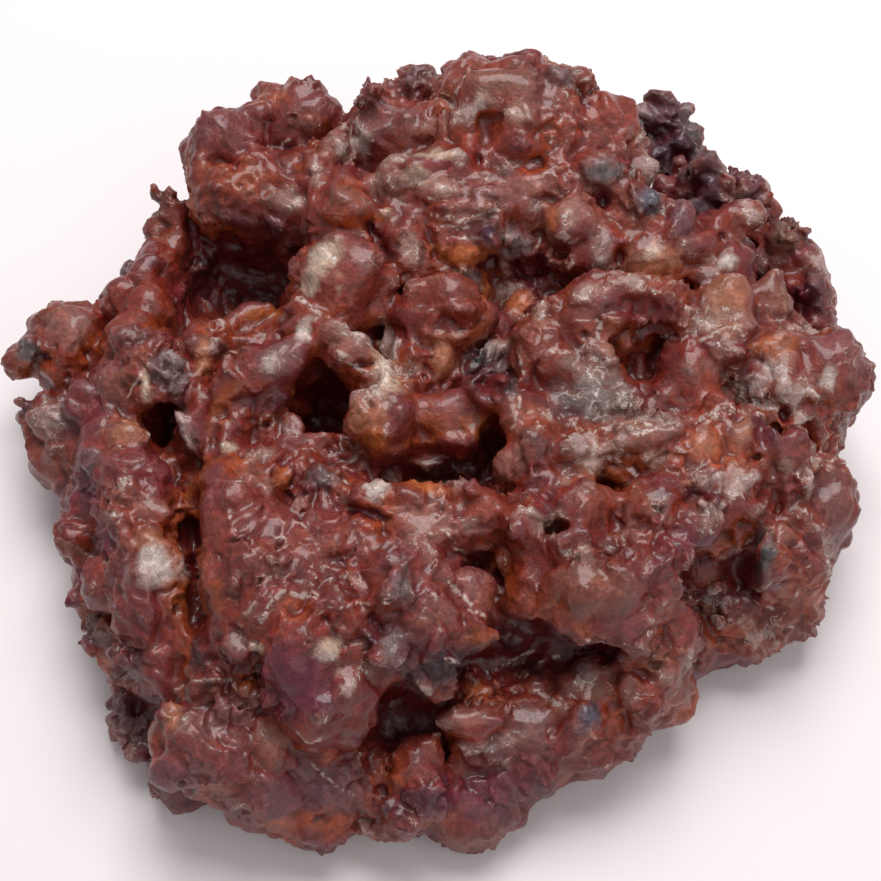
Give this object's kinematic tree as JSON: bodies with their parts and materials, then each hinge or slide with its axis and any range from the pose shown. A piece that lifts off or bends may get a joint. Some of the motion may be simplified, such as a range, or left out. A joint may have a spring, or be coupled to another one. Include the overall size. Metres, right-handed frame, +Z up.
{
  "type": "blueberry fritter",
  "caption": "Roughly round, craggy piece of deep-fried dough with a dried sugar glaze, domed and lumpy on top and cut flat underneath so that it rests on a tray or plate.",
  "frame": {"origin": "centre of the bounding box, on the flat face the fritter rests on", "axes": "+Z up from the resting face; +X along the widest extent; the highest lump lies towards +Y"},
  "size_m": [0.1446, 0.1334, 0.0445],
  "materials": {
    "glazed_crust": "thin semi-gloss sugar glaze over dark reddish-brown fried dough"
  },
  "bodies": {
    "root": {"fritter": "glazed_crust"}
  },
  "joints": []
}
